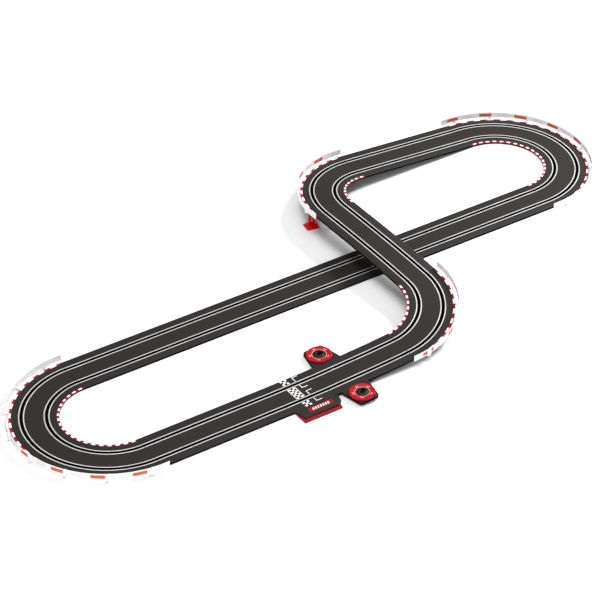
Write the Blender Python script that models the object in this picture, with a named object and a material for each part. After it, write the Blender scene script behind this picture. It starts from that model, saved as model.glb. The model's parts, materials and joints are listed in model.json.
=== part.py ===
"""A two-lane slot car track: sixteen snap-together sections laid out as a figure of eight.

The sections are laid end to end by walking LAYOUT. Each one is built flat in its own frame,
with its first joint at the origin and the track running along +X, and is then lifted so that
its surface follows the rise of the circuit. Lengths are in metres and +Z is up.
"""
import math

import bmesh
import bpy
from mathutils import Matrix, Vector

# Track sections. The circuit closes only when a standard straight is two curve radii long and
# a short one is a third of that, so both lengths follow the radius.
LANE_PITCH = 0.057            # from one guide slot to the other
TRACK_WIDTH = 0.114
CURVE_RADIUS = 0.171          # centreline of a curve
STANDARD = 2 * CURVE_RADIUS   # length of a standard straight
THIRD = STANDARD / 3          # length of a one-third straight
TRACK_THICKNESS = 0.005
DECK = 0.002                  # skin of the moulding over its open underside
SKIRT = 0.0016                # side wall
SLOT_WIDTH = 0.003
SLOT_WALL = 0.002             # wall of the channel under a slot
EDGE_CHAMFER = 0.0007
GAP = 0.0003                  # between two pieces that touch
FACET_LENGTH = 0.0224         # along a curve's centreline
CLIMB_STEP = 0.06             # along a straight that climbs

# Kerb strips, which drop into a rebate along both edges of a curve
KERB_WIDTH = 0.0055
KERB_DEPTH = 0.0024

# Guard rails outside the curves
RAIL_OFFSET = 0.0085          # from the track edge to the strip
RAIL_THICKNESS = 0.0012
RAIL_HEIGHT = 0.0155
RAIL_OVERHANG = math.radians(2.5)
POST_WIDTH = 0.011
POST_DEPTH = 0.0024
POST_RISE = 0.0168            # above the running surface
POST_ARM = 0.0022             # thickness of the arm that reaches the track edge
POST_FOOT = 0.0005            # height of a post's foot above the table
POST_ROUNDING = (0.6, 0.8)    # corner radii at its foot and top, over half its width
ARM_FOOT = 0.0008
ARM_WIDTH = 0.0077
JOINT_MARGIN = math.radians(3.5)    # extra angle to a post beside a rail that runs on
POSTS_PER_RAIL = 4
FIRST_POST = math.radians(8.0)

# Pillars under the raised sections
PILLAR_FOOT = (0.036, 0.032)
PILLAR_FOOT_HEIGHT = 0.009
PILLAR_LEG = (0.008, 0.006)
PILLAR_SPREAD = 0.0065        # from the pillar's middle to a leg's middle, at the foot
PILLAR_HEAD = (0.022, 0.012, 0.003)
PILLAR_INSET = 0.010          # from the track edge to the pillar's middle
PILLAR_FOOT_TAPER = 0.55      # width of the foot's top over its bottom
PILLAR_LEG_SINK = 0.0036      # how deep a leg starts inside the foot

# Terminal box on the connection section
BOX_BASE_REACH = 0.099        # from the centreline to the base's outer edge
BOX_BASE_SHORT = 0.013        # how far the square base stops before the box's far end
BOX_BASE_CORNER = 0.004
BOX_COVER_REACH = 0.089
BOX_START = 0.006             # along the section, at the track edge
BOX_END = 0.123
BOX_TAPER = 0.008             # how much each end draws in at the outer edge
BOX_CORNER = 0.013
BOX_SQUARE_CORNER = 0.002     # the same at its first corner
COVER_THICKNESS = 0.0018
PLATE_SIZE = (0.066, 0.016)   # name plate
PLATE_THICKNESS = 0.0006
PLATE_CORNER = 0.002
JACK_SIZE = (0.010, 0.012, 0.0024)
JACK_PITCH = 0.022
JACK_FOOT = 0.0005            # height of a socket's pocket above the table
JACK_MOUTH = (0.006, 0.0072)  # width and depth of its opening
JACK_WALL = 0.0007
CUT_PAST = 0.001              # how far a cutter runs past what it cuts

# Lap counter housings on the lap counter section
HOUSING_REACH = 0.118         # from the centreline to the housing's outer edge
HOUSING_ROOT = 0.038          # half its width at the track edge
HOUSING_TIP = 0.0255          # half its width at the outer edge
HOUSING_CORNER = 0.009
DIAL_OFFSET = 0.0865          # from the centreline to the pointer's axis
RING_OUTER = 0.0303
RING_INNER = 0.0155
RING_HEIGHT = 0.0042          # of the rim, from which the ring dishes inwards
RING_HOLE_HEIGHT = 0.0026
RING_RIM = 0.0016             # width of the flat rim
RING_CHAMFER = 0.0008
POINTER_RADIUS = 0.0145
POINTER_HEIGHT = 0.0165
POINTER_CONE = ((0.0028, 0.0091), (0.0052, 0.0035))   # radius and height on the way down
POINTER_FLANGE = (0.0006, 0.0016, 0.0026)             # underside, edge and top of its disc
POINTER_CHAMFER = 0.001
FIN_HEIGHT = 0.0132
FIN_INSET = 0.002             # from the disc's edge to the fin's tip
FIN_HALF = 0.001
SPINDLE_RADIUS = 0.003
SPINDLE_CLEARANCE = 0.0005
RATCHET_RADIUS = 0.0135
RATCHET_TEETH = 25
RATCHET_THICKNESS = 0.0011
RATCHET_TOOTH = (0.0012, 0.02)      # depth, and the angle across its steep face
MECHANISM_DROP = 0.0024       # from the running surface down to the ratchet and lever
LEVER_PIVOT = 0.0435          # from the centreline to the lever's pin
LEVER_PIN_RADIUS = 0.0015
LEVER_WIDTH = 0.004
LEVER_EYE_WIDTH = 0.0052      # at the pin
FINGER_TIP_WIDTH = 0.002
PAWL_TIP_WIDTH = 0.0016
LEVER_SWING = math.radians(14.0)
BOTTOM_COVER = 0.0007         # sheet that closes a housing from below
HOLLOW_MARGIN = 0.0004        # between a slot's channel and a housing's hollow
WINDOW_LAP = 0.0001           # how far a lever's window runs on into the hollow
BORE_REACH = 0.01             # of the cutter for a bore, each way
FINGER_CLEARANCE = 0.0004     # between a lever's finger and the slot's far wall
PAWL_CLEARANCE = 0.0006       # between a lever's arm and its ratchet

# A slot is deep enough for the trip lever's finger, and a curve's facets keep their length
SLOT_DEPTH = MECHANISM_DROP + RATCHET_THICKNESS + GAP
CURVE_STEPS = round(CURVE_RADIUS * math.pi / 2 / FACET_LENGTH)

# The circuit: name, plan shape, height of the far end above the table-level surface, and the
# grades (rise over run) at which the section starts and ends, or None where it runs straight.
LAYOUT = (
    ("front_straight", "straight", STANDARD, 0.000, 0.000, 0.000),
    ("connection_section", "straight", THIRD, 0.002, None, None),
    ("lap_counter_section", "straight", THIRD, 0.007, None, None),
    ("short_straight", "straight", THIRD, 0.0145, 0.0439, 0.090),
    ("climbing_curve", "left", CURVE_RADIUS, 0.044, 0.090, 0.065),
    ("bridge_straight", "straight", STANDARD, 0.052, 0.065, 0.000),
    ("falling_curve", "right", CURVE_RADIUS, 0.027, 0.000, -0.073),
    ("falling_straight", "straight", STANDARD, 0.002, None, None),
    ("far_curve_1", "right", CURVE_RADIUS, 0.000, -0.020, 0.000),
    ("far_curve_2", "right", CURVE_RADIUS, 0.000, 0.000, 0.000),
    ("back_straight_1", "straight", STANDARD, 0.000, 0.000, 0.000),
    ("back_straight_2", "straight", STANDARD, 0.000, 0.000, 0.000),
    ("back_straight_3", "straight", STANDARD, 0.000, 0.000, 0.000),
    ("back_straight_4", "straight", STANDARD, 0.000, 0.000, 0.000),
    ("near_curve_1", "left", CURVE_RADIUS, 0.000, 0.000, 0.000),
    ("near_curve_2", "left", CURVE_RADIUS, 0.000, 0.000, 0.000),
)
# Pillars: name, section, angle or distance along it, and the side of the track it stands on
PILLARS = (
    ("bridge_pillar_outer", "falling_curve", 0.032, "left"),
    ("bridge_pillar_inner", "falling_curve", 0.020, "right"),
    ("climb_pillar", "climbing_curve", 0.235, "right"),
    ("fall_pillar", "falling_curve", 0.245, "left"),
)

HALF = TRACK_WIDTH / 2
SIDE = {"left": 1, "right": -1}


def start_clean():
    """Empty the scene and make one collection for the parts and one for the cutters."""
    for obj in list(bpy.data.objects):
        bpy.data.objects.remove(obj, do_unlink=True)
    scene = bpy.context.scene.collection
    parts = bpy.data.collections.new("slot_car_track_set")
    cutters = bpy.data.collections.new("cutters")
    scene.children.link(parts)
    scene.children.link(cutters)
    return parts, cutters


def plastic(name, colour, roughness, metallic=0.0):
    """A plain moulded or metal finish."""
    material = bpy.data.materials.new(name)
    material.use_nodes = True
    shader = material.node_tree.nodes["Principled BSDF"]
    shader.inputs["Base Color"].default_value = (*colour, 1.0)
    shader.inputs["Roughness"].default_value = roughness
    shader.inputs["Metallic"].default_value = metallic
    return material


# ---------------------------------------------------------------- the circuit

class Section:
    """One section's place in the circuit: its start, heading and rise."""

    def __init__(self, row, x, y, heading, height):
        self.name, self.plan, self.size, self.end_height, *grades = row
        self.x, self.y, self.heading, self.height = x, y, heading, height
        turned = self.plan != "straight"
        self.length = self.size * math.pi / 2 if turned else self.size
        self.turn = SIDE[self.plan] if turned else 0
        self.slope = (self.end_height - height) / self.length
        self.start_grade, self.end_grade = [self.slope if grade is None else grade for grade in grades]

    def rise(self, along):
        """Height at a distance along the section: a cubic between its two ends."""
        t = along / self.length
        run = self.length
        return ((2 * t**3 - 3 * t**2 + 1) * self.height
                + (t**3 - 2 * t**2 + t) * run * self.start_grade
                + (3 * t**2 - 2 * t**3) * self.end_height
                + (t**3 - t**2) * run * self.end_grade)

    def matrix(self):
        """The section's placement on the table, with its underside at z = 0."""
        return (Matrix.Translation((self.x, self.y, 0.0))
                @ Matrix.Rotation(self.heading, 4, "Z"))

    def point(self, along, offset):
        """A place in the section's own frame: distance along it and offset to its left."""
        if not self.turn:
            return Vector((along, offset, 0.0))
        angle = self.turn * along / self.size
        reach = self.size - self.turn * offset
        return Vector((reach * math.sin(abs(angle)),
                       self.turn * (self.size - reach * math.cos(angle)), 0.0))

    def along(self, point):
        """The distance along the section of a point in its own frame."""
        if not self.turn:
            return point.x
        return self.size * math.atan2(point.x, self.size - self.turn * point.y)

    def end(self):
        """Where the next section starts, and which way it heads."""
        place = self.matrix() @ self.point(self.length, 0.0)
        return place.x, place.y, self.heading + self.turn * math.pi / 2


def walk_circuit():
    """Lay the sections end to end."""
    sections = []
    x = y = heading = height = 0.0
    for row in LAYOUT:
        section = Section(row, x, y, heading, height)
        sections.append(section)
        x, y, heading = section.end()
        height = section.end_height
    return sections


def rise_at(sections, index, along):
    """Height at a distance along section number index, which may run past its ends."""
    section = sections[index]
    if along < 0:
        section = sections[index - 1]
        along += section.length
    elif along > section.length:
        along -= section.length
        section = sections[(index + 1) % len(sections)]
    return section.rise(along)


# ---------------------------------------------------------------- building blocks

def add_object(name, mesh, material, collection):
    """Put a mesh in the scene as one named part."""
    obj = bpy.data.objects.new(name, mesh)
    collection.objects.link(obj)
    if material:
        mesh.materials.append(material)
    return obj


def mesh_from(bm, name):
    """Close a bmesh into a mesh whose faces point out."""
    bmesh.ops.recalc_face_normals(bm, faces=bm.faces)
    mesh = bpy.data.meshes.new(name)
    bm.to_mesh(mesh)
    bm.free()
    return mesh


def outline_face(bm, points):
    """One flat face from an outline."""
    return bm.faces.new([bm.verts.new(point) for point in points])


def swept(name, section, outline, start, stop, steps):
    """Sweep an outline of (offset, height) pairs along a section from start to stop."""
    bm = bmesh.new()
    first = start if not section.turn else 0.0
    ring = [bm.verts.new((first, offset, height)) for offset, height in outline]
    edges = [bm.edges.new((ring[i - 1], ring[i])) for i in range(len(ring))]
    if section.turn:
        centre = Vector((0.0, section.turn * section.size, 0.0))
        turning = Matrix.Rotation(section.turn * start / section.size, 4, "Z")
        bmesh.ops.transform(bm, matrix=turning, space=Matrix.Translation(-centre), verts=ring)
        bmesh.ops.spin(bm, geom=ring + edges, cent=centre, axis=(0, 0, 1),
                       angle=section.turn * (stop - start) / section.size, steps=steps,
                       use_duplicate=False)
    for _ in range(0 if section.turn else steps):
        grown = bmesh.ops.extrude_edge_only(bm, edges=edges)["geom"]
        edges = [item for item in grown if isinstance(item, bmesh.types.BMEdge)]
        moved = [item for item in grown if isinstance(item, bmesh.types.BMVert)]
        bmesh.ops.translate(bm, verts=moved, vec=((stop - start) / steps, 0, 0))
    bmesh.ops.edgeloop_fill(bm, edges=[edge for edge in bm.edges if edge.is_boundary])
    return mesh_from(bm, name)


def rounded(corners, radii, steps=4):
    """An outline whose corners are replaced by arcs."""
    points = []
    count = len(corners)
    for index, radius in enumerate(radii):
        here = Vector(corners[index])
        before = (Vector(corners[index - 1]) - here).normalized()
        after = (Vector(corners[(index + 1) % count]) - here).normalized()
        if not radius:
            points.append(here)
            continue
        half_angle = before.angle(after) / 2
        centre = here + (before + after).normalized() * radius / math.sin(half_angle)
        reach = radius / math.tan(half_angle)
        first = here + before * reach - centre
        last = here + after * reach - centre
        for step in range(steps + 1):
            points.append(centre + first.slerp(last, step / steps) * radius)
    return points


def slab(name, outline, bottom, top):
    """A flat outline given a thickness."""
    bm = bmesh.new()
    face = outline_face(bm, [(point[0], point[1], bottom) for point in outline])
    grown = bmesh.ops.extrude_face_region(bm, geom=[face])["geom"]
    moved = [item for item in grown if isinstance(item, bmesh.types.BMVert)]
    bmesh.ops.translate(bm, verts=moved, vec=(0, 0, top - bottom))
    return mesh_from(bm, name)


def turned(name, profile, sides):
    """A turned solid: an outline of (radius, height) pairs spun about the Z axis."""
    bm = bmesh.new()
    ring = [bm.verts.new((radius, 0.0, height)) for radius, height in profile]
    edges = [bm.edges.new((ring[i - 1], ring[i])) for i in range(len(ring))]
    bmesh.ops.spin(bm, geom=ring + edges, cent=(0, 0, 0), axis=(0, 0, 1),
                   angle=2 * math.pi, steps=sides, use_merge=True, use_duplicate=False)
    bmesh.ops.remove_doubles(bm, verts=bm.verts, dist=1e-6)
    return mesh_from(bm, name)


def post(name, radius, bottom, top, sides=24):
    """A round bar standing on Z."""
    bm = bmesh.new()
    bmesh.ops.create_cone(bm, cap_ends=True, segments=sides, radius1=radius, radius2=radius,
                          depth=top - bottom)
    bmesh.ops.translate(bm, verts=bm.verts, vec=(0, 0, (top + bottom) / 2))
    return mesh_from(bm, name)


def box(name, low, high):
    """A box between two corners."""
    bm = bmesh.new()
    bmesh.ops.create_cube(bm, size=1.0)
    size = Vector(high) - Vector(low)
    bmesh.ops.scale(bm, verts=bm.verts, vec=size)
    bmesh.ops.translate(bm, verts=bm.verts, vec=Vector(low) + size / 2)
    return mesh_from(bm, name)


def combine(target, meshes, operation, cutters):
    """Join meshes to an object or cut them from it, and keep the result as its mesh."""
    for number, mesh in enumerate(meshes):
        tool = add_object(f"{target.name}_{operation.lower()}_{number}", mesh, None, cutters)
        tool.hide_render = True
        tool.display_type = "WIRE"
        modifier = target.modifiers.new(tool.name, "BOOLEAN")
        modifier.operation = operation
        modifier.object = tool
        modifier.solver = "EXACT"
    graph = bpy.context.evaluated_depsgraph_get()
    result = bpy.data.meshes.new_from_object(target.evaluated_get(graph))
    target.modifiers.clear()
    target.data = result
    for tool in list(cutters.objects):
        bpy.data.objects.remove(tool, do_unlink=True)


def lift(mesh, height_at):
    """Raise every vertex by the height of the circuit where it stands."""
    for vertex in mesh.vertices:
        vertex.co.z += height_at(vertex.co)


# ---------------------------------------------------------------- track sections

def half_profile(kerbed):
    """The right half of a section's outline, from the middle of the deck to the middle below.

    Heights run from 0 at the table to TRACK_THICKNESS at the running surface.
    """
    top = TRACK_THICKNESS
    under = top - DECK
    inner = LANE_PITCH / 2 - SLOT_WIDTH / 2
    outer = LANE_PITCH / 2 + SLOT_WIDTH / 2
    slot = [(inner, top), (inner, top - SLOT_DEPTH), (outer, top - SLOT_DEPTH), (outer, top)]
    channel = [(outer + SLOT_WALL, under), (outer + SLOT_WALL, 0.0),
               (inner - SLOT_WALL, 0.0), (inner - SLOT_WALL, under)]
    if kerbed:
        ledge = HALF - KERB_WIDTH - GAP
        shelf = top - KERB_DEPTH - GAP
        edge = [(ledge, top), (ledge, shelf), (HALF, shelf), (HALF, 0.0),
                (ledge - SKIRT, 0.0), (ledge - SKIRT, under)]
    else:
        edge = [(HALF - EDGE_CHAMFER, top), (HALF, top - EDGE_CHAMFER), (HALF, 0.0),
                (HALF - SKIRT, 0.0), (HALF - SKIRT, under)]
    return slot + edge + channel


def track_outline(kerbed):
    """The whole outline of a section, as (offset, height) pairs."""
    right = half_profile(kerbed)
    left = [(-offset, height) for offset, height in reversed(right)]
    return right + left


def steps_for(section):
    """Facets along a section: one on the flat, more where it climbs."""
    if section.turn:
        return CURVE_STEPS
    flat = section.height == 0.0 and section.end_height == 0.0
    return 1 if flat else max(2, round(section.length / CLIMB_STEP))


def seam(section):
    """The gap left at each end of a section, as a distance along its centreline."""
    return GAP / 2 * (CURVE_RADIUS / (CURVE_RADIUS - HALF) if section.turn else 1.0)


def build_track(section, material, parts):
    """One section of track, still flat."""
    gap = seam(section)
    mesh = swept(section.name, section, track_outline(bool(section.turn)), gap,
                 section.length - gap, steps_for(section))
    return add_object(section.name, mesh, material, parts)


def build_kerbs(section, material, parts):
    """The two strips that drop into a curve's rebates."""
    top = TRACK_THICKNESS
    gap = seam(section)
    made = []
    for label, side in (("outer", -section.turn), ("inner", section.turn)):
        near, far = side * (HALF - KERB_WIDTH), side * HALF
        outline = [(near, top - KERB_DEPTH), (far, top - KERB_DEPTH), (far, top), (near, top)]
        name = f"{section.name}_{label}_kerb"
        mesh = swept(name, section, outline, gap, section.length - gap, CURVE_STEPS)
        made.append(add_object(name, mesh, material, parts))
    return made


# ---------------------------------------------------------------- guard rails

def free_ends(sections, index):
    """Whether a curve's guard rail stops at each end, or runs on into the next curve's."""
    before = sections[index - 1]
    after = sections[(index + 1) % len(sections)]
    return not before.turn, not after.turn


def post_angles(starts_free, ends_free):
    """Where a rail's posts stand, as angles around its curve."""
    near = FIRST_POST if starts_free else FIRST_POST + JOINT_MARGIN
    far = math.pi / 2 - (FIRST_POST if ends_free else FIRST_POST + JOINT_MARGIN)
    step = (far - near) / (POSTS_PER_RAIL - 1)
    return [near + step * number for number in range(POSTS_PER_RAIL)]


def build_rail(sections, index, material, parts, cutters):
    """A guard rail: a springy strip with the posts that clip it to the track's edge."""
    section = sections[index]
    side = -section.turn
    starts_free, ends_free = free_ends(sections, index)
    overhang = RAIL_OVERHANG * section.size
    start = -overhang if starts_free else GAP
    stop = section.length + (overhang if ends_free else -GAP)
    near = HALF + RAIL_OFFSET
    top = TRACK_THICKNESS
    outline = [(side * near, top), (side * (near + RAIL_THICKNESS), top),
               (side * (near + RAIL_THICKNESS), top + RAIL_HEIGHT), (side * near, top + RAIL_HEIGHT)]
    name = f"{section.name}_guard_rail"
    rail = add_object(name, swept(name, section, outline, start, stop, CURVE_STEPS), material, parts)

    posts = []
    for angle in post_angles(starts_free, ends_free):
        half = POST_WIDTH / 2
        back = near + RAIL_THICKNESS / 2
        front = near + RAIL_THICKNESS + POST_DEPTH
        low, high = [half * share for share in POST_ROUNDING]
        upright = rounded([(-half, POST_FOOT), (half, POST_FOOT), (half, top + POST_RISE),
                           (-half, top + POST_RISE)], [low, low, high, high], 2)
        plate = slab(name, upright, back, front)
        plate.transform(Matrix(((1, 0, 0, 0), (0, 0, 1, 0), (0, 1, 0, 0), (0, 0, 0, 1))))
        plate.flip_normals()
        arm = box(name, (-ARM_WIDTH / 2, HALF + GAP, ARM_FOOT),
                  (ARM_WIDTH / 2, back + RAIL_THICKNESS / 2, ARM_FOOT + POST_ARM))
        for mesh in (plate, arm):
            if side < 0:
                mesh.transform(Matrix.Rotation(math.pi, 4, "Z"))
            about = Vector((0.0, section.turn * section.size, 0.0))
            mesh.transform(Matrix.Translation(about) @ Matrix.Rotation(section.turn * angle, 4, "Z")
                           @ Matrix.Translation(-about))
            posts.append(mesh)
    combine(rail, posts, "UNION", cutters)
    return rail


# ---------------------------------------------------------------- pillars

def build_pillar(sections, row, material, parts, cutters):
    """A two-legged pillar that carries the outer edge of a raised section."""
    name, section_name, along, side = row
    index = next(i for i, section in enumerate(sections) if section.name == section_name)
    section = sections[index]
    height = section.rise(along) - GAP
    foot = box(name, (-0.5, -0.5, 0.0), (0.5, 0.5, PILLAR_FOOT_HEIGHT))
    for vertex in foot.vertices:
        shrink = 1.0 if vertex.co.z < PILLAR_FOOT_HEIGHT / 2 else PILLAR_FOOT_TAPER
        vertex.co.x *= PILLAR_FOOT[0] * shrink
        vertex.co.y *= PILLAR_FOOT[1] * shrink
    pillar = add_object(name, foot, material, parts)
    pieces = []
    lean = (PILLAR_SPREAD - PILLAR_HEAD[0] / 4) / (2 * height)
    for hand in (1, -1):
        half_x, half_y = PILLAR_LEG[0] / 2, PILLAR_LEG[1] / 2
        middle = hand * PILLAR_SPREAD
        leg = box(name, (middle - half_x, -half_y, PILLAR_FOOT_HEIGHT - PILLAR_LEG_SINK),
                  (middle + half_x, half_y, height - PILLAR_HEAD[2] / 2))
        for vertex in leg.vertices:
            vertex.co.x -= hand * lean * vertex.co.z
        pieces.append(leg)
    pieces.append(box(name, (-PILLAR_HEAD[0] / 2, -PILLAR_HEAD[1] / 2, height - PILLAR_HEAD[2]),
                      (PILLAR_HEAD[0] / 2, PILLAR_HEAD[1] / 2, height)))
    combine(pillar, pieces, "UNION", cutters)

    place = section.point(along, SIDE[side] * (HALF - PILLAR_INSET))
    heading = section.turn * along / section.size
    pillar.data.transform(Matrix.Translation(place) @ Matrix.Rotation(heading + math.pi / 2, 4, "Z"))
    for vertex in pillar.data.vertices:
        above = section.rise(section.along(vertex.co)) - GAP
        vertex.co.z *= above / height
    pillar.matrix_world = section.matrix()
    return pillar


# ---------------------------------------------------------------- terminal box

def box_outline(reach, last=BOX_END, taper=BOX_TAPER, corner=BOX_CORNER):
    """Part of the terminal box seen from above: square at its first corner and round at its last."""
    root = HALF + GAP
    corners = [Vector((BOX_START, -root)), Vector((BOX_START + taper, -reach)),
               Vector((last - taper, -reach)), Vector((last, -root))]
    return rounded(corners, [0.0, BOX_SQUARE_CORNER, corner, 0.0], 5)


def build_terminal_box(section, finishes, parts, cutters):
    """The box that takes the power supply and the two hand controllers."""
    top = TRACK_THICKNESS
    cover_bottom = top - COVER_THICKNESS
    base_top = cover_bottom - GAP
    outline = box_outline(BOX_BASE_REACH, BOX_END - BOX_BASE_SHORT, 0.0, BOX_BASE_CORNER)
    base = add_object("terminal_base", slab("terminal_base", outline, 0.0, base_top), finishes["red"], parts)
    pockets = []
    jacks = []
    middle = (BOX_START + BOX_END) / 2
    for number, label in enumerate(("controller_jack_1", "power_jack", "controller_jack_2")):
        centre = middle + (number - 1) * JACK_PITCH
        half = JACK_SIZE[0] / 2
        low = (centre - half, -BOX_BASE_REACH - CUT_PAST, JACK_FOOT)
        high = (centre + half, -BOX_BASE_REACH + JACK_SIZE[1], base_top + CUT_PAST)
        pockets.append(box(label, low, high))
        jack_low = (centre - half + GAP, -BOX_BASE_REACH, JACK_FOOT + GAP)
        jack_high = (centre + half - GAP, -BOX_BASE_REACH + JACK_SIZE[1] - GAP, base_top - GAP)
        jack = add_object(label, box(label, jack_low, jack_high), finishes["black"], parts)
        mouth_low = (centre - JACK_MOUTH[0] / 2, -BOX_BASE_REACH - CUT_PAST, JACK_FOOT + JACK_WALL)
        mouth_high = (centre + JACK_MOUTH[0] / 2, -BOX_BASE_REACH + JACK_MOUTH[1], base_top - JACK_WALL)
        mouth = box(label, mouth_low, mouth_high)
        combine(jack, [mouth], "DIFFERENCE", cutters)
        jacks.append(jack)
    combine(base, pockets, "DIFFERENCE", cutters)
    cover = add_object("terminal_cover", slab("terminal_cover", box_outline(BOX_COVER_REACH),
                                              cover_bottom, top), finishes["black"], parts)
    half_x, half_y = PLATE_SIZE[0] / 2, PLATE_SIZE[1] / 2
    plate_y = -(HALF + BOX_COVER_REACH) / 2
    corners = [Vector((middle - half_x, plate_y - half_y)), Vector((middle + half_x, plate_y - half_y)),
               Vector((middle + half_x, plate_y + half_y)), Vector((middle - half_x, plate_y + half_y))]
    plate = add_object("name_plate", slab("name_plate", rounded(corners, [PLATE_CORNER] * 4, 2), top + GAP,
                                          top + GAP + PLATE_THICKNESS), finishes["red"], parts)
    return base, jacks, cover, plate


# ---------------------------------------------------------------- lap counter

def housing_outline(side, inset=0.0, root=HALF - SKIRT):
    """A lap counter housing seen from above, about the section's middle."""
    reach = HOUSING_REACH - inset
    corners = [(-HOUSING_ROOT + inset, side * root), (-HOUSING_TIP + inset, side * reach),
               (HOUSING_TIP - inset, side * reach), (HOUSING_ROOT - inset, side * root)]
    return rounded([Vector(corner) for corner in corners], [0.0, HOUSING_CORNER, HOUSING_CORNER, 0.0], 4)


def add_housings(track, section, cutters):
    """Widen the lap counter section with its two hollow housings and open it for the levers."""
    middle = Matrix.Translation((section.length / 2, 0.0, 0.0))
    top = TRACK_THICKNESS
    channel = LANE_PITCH / 2 + SLOT_WIDTH / 2
    joined = []
    cuts = []
    for side in (1, -1):
        joined.append(slab("housing", housing_outline(side), 0.0, top))
        hollow = housing_outline(side, SKIRT, channel + SLOT_WALL + HOLLOW_MARGIN)
        cuts.append(slab("hollow", hollow, -CUT_PAST, top - DECK))
        hole = post("spindle_hole", SPINDLE_RADIUS + SPINDLE_CLEARANCE, -CUT_PAST,
                    top + CUT_PAST)
        hole.transform(Matrix.Translation((0.0, side * DIAL_OFFSET, 0.0)))
        cuts.append(hole)
        swing = (LEVER_PIVOT - channel) * math.tan(LEVER_SWING) + LEVER_WIDTH
        window = channel + SLOT_WALL + HOLLOW_MARGIN + WINDOW_LAP
        low, high = sorted((side * (channel - GAP), side * window))
        cuts.append(box("finger_window", (-swing, low, top - SLOT_DEPTH), (swing, high, top - DECK)))
    for mesh in joined + cuts:
        mesh.transform(middle)
    combine(track, joined, "UNION", cutters)
    combine(track, cuts, "DIFFERENCE", cutters)


def number_ring():
    """The dished ring that carries the lap numbers."""
    foot = GAP
    profile = [(RING_OUTER, foot), (RING_OUTER, RING_HEIGHT - RING_CHAMFER),
               (RING_OUTER - RING_CHAMFER, RING_HEIGHT),
               (RING_OUTER - RING_CHAMFER - RING_RIM, RING_HEIGHT),
               (RING_INNER, RING_HOLE_HEIGHT), (RING_INNER, foot)]
    return turned("number_ring", profile, 32)


def pointer(collection, name, material, cutters):
    """The pointed knob that shows the lap, with the spindle that turns in the deck."""
    low = -MECHANISM_DROP - RATCHET_THICKNESS
    under, edge, top = POINTER_FLANGE
    profile = [(0.0, POINTER_HEIGHT), *POINTER_CONE, (POINTER_RADIUS - POINTER_CHAMFER, top),
               (POINTER_RADIUS, edge), (POINTER_RADIUS, under), (SPINDLE_RADIUS, under),
               (SPINDLE_RADIUS, low), (0.0, low)]
    knob = add_object(name, turned(name, profile, 20), material, collection)
    foot = (under + edge) / 2
    fin = slab(name, [(0.0, foot), (0.0, FIN_HEIGHT), (POINTER_RADIUS - FIN_INSET, foot)],
               -FIN_HALF, FIN_HALF)
    fin.transform(Matrix.Rotation(math.pi / 2, 4, "X"))
    combine(knob, [fin], "UNION", cutters)
    return knob


def ratchet_wheel():
    """A saw-toothed wheel with a bore for the spindle."""
    outline = []
    depth, face = RATCHET_TOOTH
    for tooth in range(RATCHET_TEETH):
        start = 2 * math.pi * tooth / RATCHET_TEETH
        for angle, radius in ((start, RATCHET_RADIUS), (start + face, RATCHET_RADIUS - depth)):
            outline.append((radius * math.cos(angle), radius * math.sin(angle)))
    return slab("ratchet_wheel", outline, -MECHANISM_DROP - RATCHET_THICKNESS, -MECHANISM_DROP)


def trip_lever(side):
    """The lever that a passing car knocks: a finger in the slot and an arm to the ratchet."""
    eye, tip, pawl = LEVER_EYE_WIDTH / 2, FINGER_TIP_WIDTH / 2, PAWL_TIP_WIDTH / 2
    finger = LEVER_PIVOT - LANE_PITCH / 2 + SLOT_WIDTH / 2 - FINGER_CLEARANCE
    arm = DIAL_OFFSET - RATCHET_RADIUS - LEVER_PIVOT - PAWL_CLEARANCE
    corners = [(-tip, -side * finger), (tip, -side * finger), (eye, 0.0),
               (pawl, side * arm), (-pawl, side * arm), (-eye, 0.0)]
    thickness = RATCHET_THICKNESS
    return slab("trip_lever", corners, -MECHANISM_DROP - thickness, -MECHANISM_DROP)


def build_lap_counter(section, side, label, finishes, parts, cutters):
    """One lane's counter: the ring, pointer, ratchet, lever, pin and bottom cover."""
    made = []
    ring = add_object(f"number_ring_{label}", number_ring(), finishes["red"], parts)
    knob = pointer(parts, f"lap_pointer_{label}", finishes["black"], cutters)
    wheel = add_object(f"ratchet_wheel_{label}", ratchet_wheel(), finishes["white"], parts)
    bore = post("bore", SPINDLE_RADIUS + GAP, -BORE_REACH, BORE_REACH)
    combine(wheel, [bore], "DIFFERENCE", cutters)
    made += [(ring, DIAL_OFFSET), (knob, DIAL_OFFSET), (wheel, DIAL_OFFSET)]

    lever = add_object(f"trip_lever_{label}", trip_lever(side), finishes["white"], parts)
    eye = post("eye", LEVER_PIN_RADIUS + GAP, -BORE_REACH, BORE_REACH, 16)
    combine(lever, [eye], "DIFFERENCE", cutters)
    top_of_cover = -TRACK_THICKNESS + BOTTOM_COVER
    pin = add_object(f"lever_pin_{label}", post("lever_pin", LEVER_PIN_RADIUS, top_of_cover + GAP,
                                                -DECK - GAP, 16), finishes["steel"], parts)
    made += [(lever, LEVER_PIVOT), (pin, LEVER_PIVOT)]

    surface = TRACK_THICKNESS + section.rise(section.length / 2)
    tilt = Matrix.Rotation(-math.atan(section.slope), 4, "Y")
    for obj, offset in made:
        obj.matrix_world = (section.matrix() @ Matrix.Translation((section.length / 2, 0.0, surface))
                            @ tilt @ Matrix.Translation((0.0, side * offset, 0.0)))

    channel = LANE_PITCH / 2 + SLOT_WIDTH / 2 + SLOT_WALL
    outline = housing_outline(side, SKIRT + GAP, channel + 2 * GAP + HOLLOW_MARGIN)
    cover = slab("bottom_cover", outline, 0.0, BOTTOM_COVER)
    cover.transform(Matrix.Translation((section.length / 2, 0.0, 0.0)))
    lift(cover, lambda point: section.rise(point.x))
    sheet = add_object(f"bottom_cover_{label}", cover, finishes["black"], parts)
    sheet.matrix_world = section.matrix()
    return [obj for obj, _ in made] + [sheet]


# ---------------------------------------------------------------- assembly

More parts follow.
